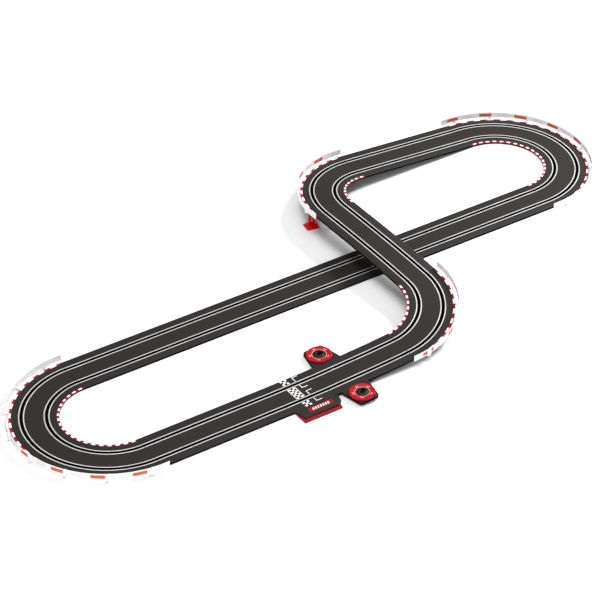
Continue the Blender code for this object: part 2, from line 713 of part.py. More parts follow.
def smooth_round_parts(parts):
    """Shade the round pieces smooth, with their hard edges kept."""
    for obj in parts.objects:
        obj.data.shade_smooth()
        obj.data.set_sharp_from_angle(angle=math.radians(35))


def stand_on_origin(parts):
    """Move the set so that the middle of its box is over the origin and it stands on z = 0."""
    bpy.context.view_layer.update()
    corners = [obj.matrix_world @ Vector(corner) for obj in parts.objects for corner in obj.bound_box]
    low = Vector([min(corner[axis] for corner in corners) for axis in range(3)])
    high = Vector([max(corner[axis] for corner in corners) for axis in range(3)])
    shift = Vector((-(low.x + high.x) / 2, -(low.y + high.y) / 2, -low.z))
    holder = bpy.data.objects.new("circuit", None)
    parts.objects.link(holder)
    for obj in list(parts.objects):
        if obj is not holder:
            obj.parent = holder
    holder.location = shift


def build():
    parts, cutters = start_clean()
    finishes = {
        "track": plastic("track black", (0.045, 0.042, 0.040), 0.55),
        "black": plastic("housing black", (0.040, 0.038, 0.036), 0.45),
        "kerb": plastic("kerb red and white", (0.62, 0.05, 0.05), 0.45),
        "rail": plastic("guard rail white", (0.86, 0.87, 0.87), 0.40),
        "red": plastic("signal red", (0.60, 0.015, 0.025), 0.35),
        "white": plastic("lever white", (0.80, 0.80, 0.78), 0.45),
        "steel": plastic("pin steel", (0.60, 0.60, 0.60), 0.30, 1.0),
    }
    sections = walk_circuit()
    for index, section in enumerate(sections):
        track = build_track(section, finishes["track"], parts)
        pieces = [track]
        if section.turn:
            pieces += build_kerbs(section, finishes["kerb"], parts)
            pieces.append(build_rail(sections, index, finishes["rail"], parts, cutters))
        if section.name == "lap_counter_section":
            add_housings(track, section, cutters)
            for side, label in ((1, "far"), (-1, "near")):
                build_lap_counter(section, side, label, finishes, parts, cutters)
        if section.name == "connection_section":
            base, jacks, cover, plate = build_terminal_box(section, finishes, parts, cutters)
            for obj in (cover, plate):
                lift(obj.data, lambda point: section.rise(point.x))
            for obj in [base, cover, plate] + jacks:
                obj.matrix_world = section.matrix()
        for obj in pieces:
            lift(obj.data, lambda point: rise_at(sections, index, section.along(point)))
            obj.matrix_world = section.matrix()
    for row in PILLARS:
        build_pillar(sections, row, finishes["red"], parts, cutters)
    smooth_round_parts(parts)
    stand_on_origin(parts)


build()
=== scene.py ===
import json
import math

import bmesh
import bpy
from mathutils import Matrix, Vector


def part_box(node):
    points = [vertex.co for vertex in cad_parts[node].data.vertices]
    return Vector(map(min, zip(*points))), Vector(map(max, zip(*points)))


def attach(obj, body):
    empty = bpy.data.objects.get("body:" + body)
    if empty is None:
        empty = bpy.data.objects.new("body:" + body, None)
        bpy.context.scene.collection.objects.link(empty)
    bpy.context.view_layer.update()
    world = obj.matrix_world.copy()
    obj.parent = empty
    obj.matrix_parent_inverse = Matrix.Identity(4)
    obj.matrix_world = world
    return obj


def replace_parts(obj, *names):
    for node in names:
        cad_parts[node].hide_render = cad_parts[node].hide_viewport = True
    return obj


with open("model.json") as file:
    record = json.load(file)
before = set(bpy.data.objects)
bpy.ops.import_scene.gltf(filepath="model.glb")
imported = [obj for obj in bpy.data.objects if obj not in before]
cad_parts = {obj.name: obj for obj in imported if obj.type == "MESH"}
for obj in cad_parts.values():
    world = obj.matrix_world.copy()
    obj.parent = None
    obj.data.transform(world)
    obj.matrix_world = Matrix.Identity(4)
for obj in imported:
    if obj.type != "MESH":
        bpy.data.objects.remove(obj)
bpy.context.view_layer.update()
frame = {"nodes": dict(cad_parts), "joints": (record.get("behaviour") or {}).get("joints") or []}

# ---- Track sections
# Sixteen injection-moulded sections of warm black plastic, open underneath, snapped end to
# end. Each deck has two guide slots, and each slot sits in a shallow recess.
SECTIONS = (("front_straight", 0, 3), ("connection_section", 0, 1), ("lap_counter_section", 0, 1),
            ("short_straight", 0, 1), ("climbing_curve", 1, 0), ("bridge_straight", 0, 3),
            ("falling_curve", -1, 0), ("falling_straight", 0, 3), ("far_curve_1", -1, 0),
            ("far_curve_2", -1, 0), ("back_straight_1", 0, 3), ("back_straight_2", 0, 3),
            ("back_straight_3", 0, 3), ("back_straight_4", 0, 3), ("near_curve_1", 1, 0),
            ("near_curve_2", 1, 0))
GRADES = {"short_straight": (0.0439, 0.090), "climbing_curve": (0.090, 0.065),
          "bridge_straight": (0.065, 0.0), "falling_curve": (0.0, -0.073),
          "far_curve_1": (-0.020, 0.0)}
FALLING = ("falling_curve", "falling_straight", "far_curve_1")
first_low, first_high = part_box("front_straight")
WIDTH = round(first_high.y - first_low.y, 4)
THICK = round(first_high.z - first_low.z, 4)
HALF = WIDTH / 2
LANE = WIDTH / 4
RADIUS = 1.5 * WIDTH
GAP = 0.0003
SLOT_HALF = 0.0015
SLOT_WALL = 0.002
SLOT_DEPTH = 0.0038
RECESS_HALF = 0.0038
RECESS_DEPTH = 0.0007
DECK_SKIN = 0.002
SKIRT = 0.0016
EDGE_ROUND = (0.0007, 0.0002)
KERB_REBATE = (0.0058, 0.0027)
CURVE_STEPS = 40
STRAIGHT_STEP = 0.02
SHARP_ANGLE = math.radians(30)
FLAT_ANGLE = math.radians(1)
WELD = 1e-6
HAIR = 0.0001


class Stretch:
    """One section's route: where it starts, how it turns and how it rises."""

    def __init__(self, name, turn, thirds, x, y, heading, height):
        self.name, self.turn, self.x, self.y, self.heading = name, turn, x, y, heading
        self.length = RADIUS * math.pi / 2 if turn else thirds * WIDTH
        low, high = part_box(name)
        bottom, top = round(low.z, 4), round(high.z - THICK, 4)
        self.start, self.stop = height, bottom if name in FALLING else top
        slope = (self.stop - self.start) / self.length
        self.grade, self.last_grade = GRADES.get(name, (slope, slope))

    def rise(self, along):
        t, run = along / self.length, self.length
        return ((2 * t**3 - 3 * t**2 + 1) * self.start + (t**3 - 2 * t**2 + t) * run * self.grade
                + (3 * t**2 - 2 * t**3) * self.stop + (t**3 - t**2) * run * self.last_grade)

    def place(self):
        return Matrix.Translation((self.x, self.y, 0)) @ Matrix.Rotation(self.heading, 4, "Z")

    def centre(self):
        return Vector((0, self.turn * RADIUS, 0))

    def along(self, point):
        if not self.turn:
            return point.x
        return RADIUS * math.atan2(point.x, RADIUS - self.turn * point.y)


stretches = []
x, y, heading, height = first_low.x - GAP / 2, (first_low.y + first_high.y) / 2, 0.0, 0.0
for name, turn, thirds in SECTIONS:
    stretch = Stretch(name, turn, thirds, x, y, heading, height)
    stretches.append(stretch)
    reach = Vector((RADIUS, turn * RADIUS, 0)) if turn else Vector((stretch.length, 0, 0))
    x, y, _ = stretch.place() @ reach
    heading, height = heading + turn * math.pi / 2, stretch.stop


def section(name):
    """The route of the section with this name."""
    return next(stretch for stretch in stretches if stretch.name == name)


def height_at(stretch, along):
    """The circuit's rise beside a section, also a little past its ends."""
    number = stretches.index(stretch)
    if along < 0:
        before = stretches[number - 1]
        return before.rise(before.length + along)
    if along > stretch.length:
        return stretches[(number + 1) % len(stretches)].rise(along - stretch.length)
    return stretch.rise(along)


def set_down(bm, stretch):
    """Lift a flat shape onto the circuit's slope and put it in its place."""
    for vert in bm.verts:
        vert.co.z += height_at(stretch, stretch.along(vert.co))
    bmesh.ops.transform(bm, matrix=stretch.place(), verts=bm.verts)


def sweep(bm, stretch, outline, start, stop, steps):
    """Draw an outline of (offset, height) along a section and close both ends."""
    ring = [bm.verts.new((0 if stretch.turn else start, offset, up)) for offset, up in outline]
    edges = [bm.edges.new((ring[i - 1], ring[i])) for i in range(len(ring))]
    made = list(ring)
    if stretch.turn:
        turning = Matrix.Rotation(stretch.turn * start / RADIUS, 4, "Z")
        bmesh.ops.transform(bm, matrix=turning, space=Matrix.Translation(-stretch.centre()), verts=ring)
        before = set(bm.verts)
        bmesh.ops.spin(bm, geom=ring + edges, cent=stretch.centre(), axis=(0, 0, 1),
                       angle=stretch.turn * (stop - start) / RADIUS, steps=steps, use_duplicate=False)
        made += [vert for vert in bm.verts if vert not in before]
    for _ in range(0 if stretch.turn else steps):
        grown = bmesh.ops.extrude_edge_only(bm, edges=edges)["geom"]
        edges = [item for item in grown if isinstance(item, bmesh.types.BMEdge)]
        moved = [item for item in grown if isinstance(item, bmesh.types.BMVert)]
        bmesh.ops.translate(bm, verts=moved, vec=((stop - start) / steps, 0, 0))
        made += moved
    mine = set(made)
    bmesh.ops.edgeloop_fill(bm, edges=[e for e in bm.edges if e.is_boundary and e.verts[0] in mine])


def finished(bm, name, materials, body="circuit"):
    """Turn a bmesh into a piece that rides on its body."""
    bmesh.ops.recalc_face_normals(bm, faces=bm.faces)
    mesh = bpy.data.meshes.new(name)
    bm.to_mesh(mesh)
    bm.free()
    for material in materials:
        mesh.materials.append(material)
    mesh.shade_smooth()
    mesh.set_sharp_from_angle(angle=SHARP_ANGLE)
    piece = bpy.data.objects.new(name, mesh)
    bpy.context.scene.collection.objects.link(piece)
    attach(piece, body)
    return piece


MOTTLE_SCALE, MOTTLE_DETAIL = 22.0, 5.0
GRAIN_LIFT = 0.0005


def moulded_surface():
    """Shared look of moulded plastic: a fine grain, and slow mottling of colour and shine."""
    group = bpy.data.node_groups.new("moulded surface", "ShaderNodeTree")
    for label, kind, value in (("Position", "NodeSocketVector", None),
                               ("Colour", "NodeSocketColor", None),
                               ("Grain Scale", "NodeSocketFloat", 900.0),
                               ("Mottling", "NodeSocketFloat", 0.15),
                               ("Roughness", "NodeSocketFloat", 0.5)):
        socket = group.interface.new_socket(label, in_out="INPUT", socket_type=kind)
        if value is not None:
            socket.default_value = value
    for label, kind in (("Colour", "NodeSocketColor"), ("Roughness", "NodeSocketFloat"),
                        ("Grain", "NodeSocketFloat")):
        group.interface.new_socket(label, in_out="OUTPUT", socket_type=kind)
    nodes, links = group.nodes, group.links
    inside, outside = nodes.new("NodeGroupInput"), nodes.new("NodeGroupOutput")
    grain = nodes.new("ShaderNodeTexNoise")
    slow = nodes.new("ShaderNodeTexNoise")
    slow.inputs["Scale"].default_value = MOTTLE_SCALE
    slow.inputs["Detail"].default_value = MOTTLE_DETAIL
    links.new(inside.outputs["Position"], grain.inputs["Vector"])
    links.new(inside.outputs["Position"], slow.inputs["Vector"])
    links.new(inside.outputs["Grain Scale"], grain.inputs["Scale"])
    shift = nodes.new("ShaderNodeMath")
    shift.operation = "SUBTRACT"
    shift.inputs[1].default_value = 0.5
    links.new(slow.outputs["Fac"], shift.inputs[0])
    amount = nodes.new("ShaderNodeMath")
    amount.operation = "MULTIPLY"
    links.new(shift.outputs[0], amount.inputs[0])
    links.new(inside.outputs["Mottling"], amount.inputs[1])
    level = nodes.new("ShaderNodeMath")
    level.inputs[1].default_value = 1.0
    links.new(amount.outputs[0], level.inputs[0])
    tint = nodes.new("ShaderNodeVectorMath")
    tint.operation = "SCALE"
    links.new(inside.outputs["Colour"], tint.inputs[0])
    links.new(level.outputs[0], tint.inputs["Scale"])
    rough = nodes.new("ShaderNodeMath")
    links.new(inside.outputs["Roughness"], rough.inputs[0])
    links.new(amount.outputs[0], rough.inputs[1])
    links.new(tint.outputs[0], outside.inputs["Colour"])
    links.new(rough.outputs[0], outside.inputs["Roughness"])
    links.new(grain.outputs["Fac"], outside.inputs["Grain"])
    return group


SURFACE = moulded_surface()


def finish(name, colour, roughness, grain=900.0, mottling=0.15, bump=0.05, metallic=0.0,
           specular=0.3):
    """A Principled finish whose colour, roughness and bump come from the shared surface."""
    material = bpy.data.materials.new(name)
    material.use_nodes = True
    nodes, links = material.node_tree.nodes, material.node_tree.links
    shader = nodes["Principled BSDF"]
    surface = nodes.new("ShaderNodeGroup")
    surface.node_tree = SURFACE
    surface.inputs["Colour"].default_value = (*colour, 1)
    surface.inputs["Grain Scale"].default_value = grain
    surface.inputs["Mottling"].default_value = mottling
    surface.inputs["Roughness"].default_value = roughness
    links.new(nodes.new("ShaderNodeTexCoord").outputs["Object"], surface.inputs["Position"])
    links.new(surface.outputs["Colour"], shader.inputs["Base Color"])
    links.new(surface.outputs["Roughness"], shader.inputs["Roughness"])
    lift = nodes.new("ShaderNodeBump")
    lift.inputs["Strength"].default_value = bump
    lift.inputs["Distance"].default_value = GRAIN_LIFT
    links.new(surface.outputs["Grain"], lift.inputs["Height"])
    links.new(lift.outputs["Normal"], shader.inputs["Normal"])
    shader.inputs["Metallic"].default_value = metallic
    shader.inputs["Specular IOR Level"].default_value = specular
    return material


track_plastic = finish("track plastic", (0.0160, 0.0132, 0.0118), 0.62, 700, 0.25, 0.25, specular=0.15)
# Near-black: painted shade in the slot recesses, on the sections' upright edge walls and in the socket
# mouths; the lap counters' bowls are drawn in it too.
black_and_painted_shade = finish("black and painted shade", (0.004, 0.004, 0.004), 0.8, 700, 0.2, 0.1, specular=0.0)


def track_outline(kerbed):
    """A section's outline: recessed slots, chamfered or rebated edges, hollow underside."""
    under = THICK - DECK_SKIN
    slot = [(LANE - RECESS_HALF, THICK), (LANE - RECESS_HALF, THICK - RECESS_DEPTH),
            (LANE - SLOT_HALF, THICK - RECESS_DEPTH), (LANE - SLOT_HALF, THICK - SLOT_DEPTH),
            (LANE + SLOT_HALF, THICK - SLOT_DEPTH), (LANE + SLOT_HALF, THICK - RECESS_DEPTH),
            (LANE + RECESS_HALF, THICK - RECESS_DEPTH), (LANE + RECESS_HALF, THICK)]
    wall = SLOT_HALF + SLOT_WALL
    channel = [(LANE + wall, under), (LANE + wall, 0), (LANE - wall, 0), (LANE - wall, under)]
    if kerbed:
        ledge, shelf = HALF - KERB_REBATE[0], THICK - KERB_REBATE[1]
        edge = [(ledge, THICK), (ledge, shelf), (HALF, shelf), (HALF, 0),
                (ledge - SKIRT, 0), (ledge - SKIRT, under)]
    else:
        wide, tight = EDGE_ROUND
        edge = [(HALF - wide, THICK), (HALF - tight, THICK - tight), (HALF, THICK - wide),
                (HALF, 0), (HALF - SKIRT, 0), (HALF - SKIRT, under)]
    right = slot + edge + channel
    return right + [(-offset, up) for offset, up in reversed(right)]


def steps_of(stretch):
    """How many pieces a section's outline is drawn along in."""
    return CURVE_STEPS if stretch.turn else max(1, round(stretch.length / STRAIGHT_STEP))


def seam_of(stretch):
    """Half the gap at a joint, widened on a curve so that its inner edge keeps the gap too."""
    return GAP / 2 * (RADIUS / (RADIUS - HALF) if stretch.turn else 1)


UPRIGHT = 0.3
WALL_BAND = 0.0004
REBATE_BAND = 0.02


def off_middle(stretch, point):
    """How far a point lies from a section's centre line, positive to the left."""
    if not stretch.turn:
        return point.y
    return stretch.turn * (RADIUS - (point - stretch.centre()).xy.length)


def side_wall(stretch, point, normal):
    """Whether a face is one of the smooth walls at a section's edges, painted darker than the deck as
    painted shade.
    """
    band = WALL_BAND + REBATE_BAND if stretch.turn else WALL_BAND
    return abs(normal.z) < UPRIGHT and abs(off_middle(stretch, point)) > HALF - band


def in_recess(stretch, point):
    """Whether a face lies in one of the two slot recesses, below the deck's surface."""
    from_lane = abs(abs(off_middle(stretch, point)) - LANE)
    return point.z < THICK - HAIR and from_lane < RECESS_HALF + HAIR / 10


for stretch in stretches:
    if stretch.name == "lap_counter_section":
        continue
    bm = bmesh.new()
    seam = seam_of(stretch)
    sweep(bm, stretch, track_outline(stretch.turn != 0), seam, stretch.length - seam, steps_of(stretch))
    bm.normal_update()
    for face in bm.faces:
        point = face.calc_center_median()
        # Recess and slot faces and the upright edge walls take the near-black finish: painted shade.
        face.material_index = int(in_recess(stretch, point) or side_wall(stretch, point, face.normal))
    set_down(bm, stretch)
    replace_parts(finished(bm, stretch.name + "_moulding", [track_plastic, black_and_painted_shade]),
                stretch.name)

CUTTER_HEIGHT = 0.004
CUTTER_SPARE = 0.002
counter = section("lap_counter_section")
bm = bmesh.new()
bm.from_mesh(frame["nodes"]["lap_counter_section"].data)
bmesh.ops.remove_doubles(bm, verts=bm.verts, dist=WELD)
bmesh.ops.dissolve_limit(bm, angle_limit=FLAT_ANGLE, verts=bm.verts, edges=bm.edges)
moulding = finished(bm, "lap_counter_moulding", [track_plastic, black_and_painted_shade])
bm = bmesh.new()
for lane in (LANE, -LANE):
    made = bmesh.ops.create_cube(bm, size=1.0)["verts"]
    bmesh.ops.scale(bm, verts=made,
                    vec=(counter.length + CUTTER_SPARE, 2 * RECESS_HALF, CUTTER_HEIGHT))
    bmesh.ops.translate(bm, verts=made,
                        vec=(counter.length / 2, lane, THICK - RECESS_DEPTH + CUTTER_HEIGHT / 2))
for vert in bm.verts:
    vert.co.z += counter.start + (counter.stop - counter.start) * vert.co.x / counter.length
bmesh.ops.transform(bm, matrix=counter.place(), verts=bm.verts)
recess_mesh = bpy.data.meshes.new("recess cutter")
bm.to_mesh(recess_mesh)
bm.free()
cutter = bpy.data.objects.new("recess cutter", recess_mesh)
bpy.context.scene.collection.objects.link(cutter)
cut = moulding.modifiers.new("recesses", "BOOLEAN")
cut.operation, cut.object, cut.solver = "DIFFERENCE", cutter, "EXACT"
bpy.context.view_layer.update()
result = bpy.data.meshes.new_from_object(moulding.evaluated_get(bpy.context.evaluated_depsgraph_get()))
moulding.modifiers.clear()
moulding.data = result
bpy.data.objects.remove(cutter)
back_to_plan = counter.place().inverted()
for polygon in result.polygons:
    point = back_to_plan @ polygon.center
    point.z -= counter.rise(point.x)
    # The same painted shade on this section's recesses and edge walls.
    if in_recess(counter, point) or side_wall(counter, point, polygon.normal):
        polygon.material_index = 1
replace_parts(moulding, "lap_counter_section")

# ---- Conductor strips
# Two bright plated steel strips beside each slot, pressed into the deck, which carry the
# current to a car's braids.
STRIP_CENTRE = 0.0054
STRIP_WIDTH = 0.0025
STRIP_PROUD = 0.00012
STRIP_SUNK = 0.0004
STRIP_ROUND = (0.0003, 0.00005)
STRIP_SEAMS = 3
strip_steel = finish("plated conductor strip", (0.78, 0.77, 0.75), 0.38, 400, 0.2, 0.05, metallic=0.55)
for stretch in stretches:
    bm = bmesh.new()
    for lane in (LANE, -LANE):
        for side in (1, -1):
            middle = lane + side * STRIP_CENTRE
            near, far = middle - STRIP_WIDTH / 2, middle + STRIP_WIDTH / 2
            low, high = THICK - STRIP_SUNK, THICK + STRIP_PROUD
            inward, down = STRIP_ROUND
            seam = STRIP_SEAMS * seam_of(stretch)
            sweep(bm, stretch, [(near, low), (far, low), (far, high - down), (far - inward, high),
                                (near + inward, high), (near, high - down)],
                  seam, stretch.length - seam, steps_of(stretch))
    set_down(bm, stretch)
    finished(bm, stretch.name + "_conductors", [strip_steel])

# ---- Kerbs
# A strip in the rebate on each side of every curve, moulded in alternate red and white
# blocks that lie flush with the running surface.
KERB_WIDTH = 0.0055
KERB_DEPTH = 0.0024
KERB_ROUND = 0.0003
KERB_BLOCK = math.pi / 40
kerb_red = finish("kerb red", (0.26, 0.002, 0.010), 0.45, specular=0.2)
kerb_white = finish("kerb white", (0.86, 0.86, 0.85), 0.45)
for stretch in stretches:
    if not stretch.turn:
        continue
    for label, side in (("outer", -stretch.turn), ("inner", stretch.turn)):
        bm = bmesh.new()
        near, far = side * (HALF - KERB_WIDTH), side * HALF
        low = THICK - KERB_DEPTH
        cut = side * KERB_ROUND
        seam = seam_of(stretch)
        sweep(bm, stretch, [(near, low), (far, low), (far, THICK - KERB_ROUND), (far - cut, THICK),
                            (near + cut, THICK), (near, THICK - KERB_ROUND)],
              seam, stretch.length - seam, CURVE_STEPS)
        for face in bm.faces:
            point = face.calc_center_median()
            block = (stretch.along(point) / RADIUS + KERB_BLOCK / 2) // KERB_BLOCK
            face.material_index = int(point.z > THICK - HAIR and block % 2 == 1)
        set_down(bm, stretch)
        name = f"{stretch.name}_{label}_kerb"
        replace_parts(finished(bm, name + "_strip", [kerb_red, kerb_white]), name)

# ---- Guard rails
# A springy white strip stands outside each curve, printed with red panels and pale blue-grey
# ones, and is held by moulded white posts that clip under the track's edge.
RAIL_OFFSET = 0.0085
RAIL_THICK = 0.0012
RAIL_HEIGHT = 0.0155
RAIL_ROUND = 0.0003
FREE_END = math.radians(2.5)
POSTS = 4
FREE_POST, JOINED_POST = math.radians(8), math.radians(11.5)
POST_TOP = 0.0167
POST_WIDTH = 0.011
POST_DEPTH = 0.0024
POST_CORNER = POST_WIDTH * 0.38
POST_FOOT = 0.0005
ARM_WIDTH = POST_WIDTH * 0.7
ARM_REACH = RAIL_OFFSET + RAIL_THICK
ARM_THICK = 0.0022
ARM_HEIGHT = 0.0019
ARM_LAP = 0.0004
rail_white = finish("rail white", (0.84, 0.85, 0.86), 0.40, 600, 0.06)
post_white = finish("post white", (0.86, 0.86, 0.86), 0.38, 900, 0.08)
rail_red = finish("printed red", (0.62, 0.100, 0.070), 0.40, 600, 0.10)
rail_grey = finish("printed blue-grey", (0.74, 0.77, 0.79), 0.40, 600, 0.12)


def bend_round(stretch, verts, middle, radius, facing):
    """Wrap a flat shape drawn in X and Z round a curve, standing off the radius by its Y."""
    for vert in verts:
        angle = middle + vert.co.x / radius
        out = radius + facing * vert.co.y
        side = stretch.turn * (RADIUS - out * math.cos(angle))
        vert.co = Vector((out * math.sin(angle), side, vert.co.z))


def rounded_plate(bm, width, height, depth, corner, cuts=6):
    """A plate in X and Z with rounded corners, from a cube."""
    made = bmesh.ops.create_cube(bm, size=1.0)["verts"]
    bmesh.ops.scale(bm, verts=made, vec=(width, depth, height))
    upright = [e for e in bm.edges if e.verts[0] in made
               and abs(e.verts[0].co.y - e.verts[1].co.y) > depth / 2]
    before = set(bm.verts) - set(made)
    bmesh.ops.bevel(bm, geom=upright, offset=corner, segments=4, profile=0.5, affect="EDGES",
                    material=-1)
    for number in range(1, cuts):
        here = [vert for vert in bm.verts if vert not in before]
        here += [item for item in (*bm.edges, *bm.faces) if item.verts[0] not in before]
        bmesh.ops.bisect_plane(bm, geom=here, plane_co=(width * (number / cuts - 0.5), 0, 0),
                               plane_no=(1, 0, 0))
    return [vert for vert in bm.verts if vert not in before]


PANELS = 4
PANEL_PITCH = math.pi / 8
PANEL_PHASE = {1: 0.34, -1: 0.276}
RED_PANEL, RED_AHEAD = (0.033, 0.009), 0.0
GREY_PANEL, GREY_AHEAD = (0.030, 0.0085), -0.50
PANEL_HEIGHT = 0.0075
PANEL_THICK = 0.00012
PANEL_CORNER = 0.0022
PANEL_CUTS = 8
PANEL_ROOM = 0.00015
PANEL_OVERHANG = math.radians(2)
for number, stretch in enumerate(stretches):
    if not stretch.turn:
        continue
    free_start = not stretches[number - 1].turn
    free_stop = not stretches[(number + 1) % len(stretches)].turn
    inner = RADIUS + HALF + RAIL_OFFSET
    outer = inner + RAIL_THICK - PANEL_ROOM
    spare = FREE_END * RADIUS
    start = -spare if free_start else GAP
    stop = stretch.length + (spare if free_stop else -GAP)
    side = -stretch.turn
    near, far = side * (inner - RADIUS), side * (outer - RADIUS)
    top = THICK + RAIL_HEIGHT
    cut = side * RAIL_ROUND
    bm = bmesh.new()
    sweep(bm, stretch, [(near, THICK), (far, THICK), (far, top - RAIL_ROUND), (far - cut, top),
                        (near + cut, top), (near, top - RAIL_ROUND)], start, stop, CURVE_STEPS)
    set_down(bm, stretch)
    name = stretch.name + "_guard_rail"
    rail = finished(bm, name + "_strip", [rail_white])
    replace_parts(rail, name)

    first = FREE_POST if free_start else JOINED_POST
    last = math.pi / 2 - (FREE_POST if free_stop else JOINED_POST)
    bm = bmesh.new()
    for step in range(POSTS):
        angle = first + (last - first) * step / (POSTS - 1)
        tall = THICK + POST_TOP - POST_FOOT
        plate = rounded_plate(bm, POST_WIDTH, tall, POST_DEPTH, POST_CORNER, 2)
        bmesh.ops.translate(bm, verts=plate, vec=(0, POST_DEPTH / 2, POST_FOOT + tall / 2))
        bend_round(stretch, plate, angle, outer, 1)
        arm = bmesh.ops.create_cube(bm, size=1.0)["verts"]
        bmesh.ops.scale(bm, verts=arm, vec=(ARM_WIDTH, ARM_REACH, ARM_THICK))
        bmesh.ops.translate(bm, verts=arm, vec=(0, ARM_LAP - ARM_REACH / 2, ARM_HEIGHT))
        bend_round(stretch, arm, angle, outer, 1)
    set_down(bm, stretch)
    finished(bm, stretch.name + "_rail_posts", [post_white])

    radius, facing = (outer, 1) if stretch.turn > 0 else (inner, -1)
    phase = PANEL_PHASE[stretch.turn]
    for colour_name, material, size, ahead in (("red", rail_red, RED_PANEL, RED_AHEAD),
                                               ("grey", rail_grey, GREY_PANEL, GREY_AHEAD)):
        bm = bmesh.new()
        for panel in range(PANELS):
            middle = (panel + phase) * PANEL_PITCH - ahead * PANEL_PITCH * stretch.turn
            middle = middle % (math.pi / 2)
            if min(middle, math.pi / 2 - middle) < size[0] / 2 / outer - PANEL_OVERHANG:
                continue
            plate = rounded_plate(bm, size[0], size[1], PANEL_THICK, PANEL_CORNER, PANEL_CUTS)
            bmesh.ops.translate(bm, verts=plate, vec=(0, PANEL_THICK / 2, THICK + PANEL_HEIGHT))
            bend_round(stretch, plate, middle, radius, facing)
        set_down(bm, stretch)
        finished(bm, f"{stretch.name}_{colour_name}_panels", [material])

# ---- Pillars
# Red moulded pillars under the raised sections, each with a flared foot and two legs.
# The pillars are the number rings' red plastic painted lighter: painted light.
pillar_red_painted_light = finish("pillar red painted light", (0.56, 0.002, 0.008), 0.30, 900, 0.10, 0.04, specular=0.2)
PILLARS = (("bridge_pillar_outer", "falling_curve", 0.032, 1),
           ("bridge_pillar_inner", "falling_curve", 0.020, -1),
           ("climb_pillar", "climbing_curve", 0.235, -1),
           ("fall_pillar", "falling_curve", 0.245, 1))
PILLAR_INSET = 0.010
FOOT_SIZE, FOOT_TAPER, FOOT_RIM = (0.0355, 0.0315, 0.009), 0.55, 0.0011
COLLAR_SIZE, COLLAR_TAPER, COLLAR_LIFT = (0.013, 0.011, 0.003), 0.8, 0.0010
LEG_SIZE, LEG_TAPER, LEG_RIM = (0.0072, 0.0056), 0.85, 0.0007
LEG_SUNK, LEG_SPREAD, LEG_LEAN = 0.003, 0.0062, 0.0022
HEAD_SIZE = (0.0215, 0.0115, 0.003)
FINE_RIM = 0.0006


def soft_block(bm, size, middle, top_scale, rim):
    """A tapered block with soft edges; returns its vertices."""
    before = set(bm.verts)
    made = bmesh.ops.create_cube(bm, size=1.0)["verts"]
    bmesh.ops.scale(bm, verts=made, vec=size)
    for vert in made:
        if vert.co.z > 0:
            vert.co.x *= top_scale
            vert.co.y *= top_scale
    bmesh.ops.translate(bm, verts=made, vec=middle)
    bmesh.ops.bevel(bm, geom=[e for e in bm.edges if e.verts[0] not in before], offset=rim, segments=3,
                    profile=0.5, affect="EDGES", material=-1)
    return [vert for vert in bm.verts if vert not in before]


for name, section_name, along, side in PILLARS:
    stretch = section(section_name)
    tall = stretch.rise(along) - GAP
    bm = bmesh.new()
    soft_block(bm, FOOT_SIZE, (0, 0, FOOT_SIZE[2] / 2), FOOT_TAPER, FOOT_RIM)
    soft_block(bm, COLLAR_SIZE, (0, 0, FOOT_SIZE[2] + COLLAR_LIFT), COLLAR_TAPER, FINE_RIM)
    low, high = FOOT_SIZE[2] - LEG_SUNK, tall - HEAD_SIZE[2] / 2
    for hand in (1, -1):
        leg = soft_block(bm, (*LEG_SIZE, high - low), (0, 0, (low + high) / 2), LEG_TAPER, LEG_RIM)
        for vert in leg:
            vert.co.x += hand * (LEG_SPREAD - LEG_LEAN * (vert.co.z - low) / (high - low))
    soft_block(bm, HEAD_SIZE, (0, 0, tall - HEAD_SIZE[2] / 2), 1.0, FINE_RIM)
    offset = side * (HALF - PILLAR_INSET)
    angle = stretch.turn * along / RADIUS
    reach = RADIUS - stretch.turn * offset
    spot = Vector((reach * math.sin(abs(angle)), stretch.turn * (RADIUS - reach * math.cos(angle)), 0))
    facing_out = Matrix.Rotation(angle + math.pi / 2, 4, "Z")
    bmesh.ops.transform(bm, matrix=Matrix.Translation(spot) @ facing_out, verts=bm.verts)
    for vert in bm.verts:
        vert.co.z *= (height_at(stretch, stretch.along(vert.co)) - GAP) / tall
    bmesh.ops.transform(bm, matrix=stretch.place(), verts=bm.verts)
    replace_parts(finished(bm, name + "_moulding", [pillar_red_painted_light]), name)

# ---- Terminal box
# A red moulded base with three sockets in its outer edge carries a black cover that is flush
# with the deck. The badge on the cover is plain red with slanted white stripes.
BASE_CORNER, BASE_RIM = 0.0038, 0.0004
COVER_CORNER, COVER_RIM, COVER_DRAW_IN = 0.0105, 0.0003, 0.008
MOUTH_SHARE, MOUTH_THICK, MOUTH_CORNER, MOUTH_INSET = (0.62, 0.8), 0.0006, 0.0004, 0.0002
BADGE_SIZE = (0.066, 0.015)
BADGE_SLANT = 0.004
BADGE_SHIFT = (0.0030, 0.0025)
BADGE_THICK, BADGE_LIFT = 0.0004, 0.00002
STRIPES, STRIPE_PITCH, STRIPE_SIZE = 7, 0.0068, (0.0036, 0.0078)
housing_black = finish("housing black", (0.0160, 0.0132, 0.0118), 0.5, 900, 0.2, 0.12, specular=0.15)
# The base is the number rings' red plastic painted darker: painted shade.
base_red_painted_shade = finish("base red painted shade", (0.23, 0.001, 0.008), 0.35, 900, 0.10, 0.04, specular=0.2)
badge_red = finish("badge red", (0.24, 0.003, 0.010), 0.35, 900, 0.08, 0.03)
badge_white = finish("badge white", (0.80, 0.80, 0.79), 0.45)
terminal = section("connection_section")


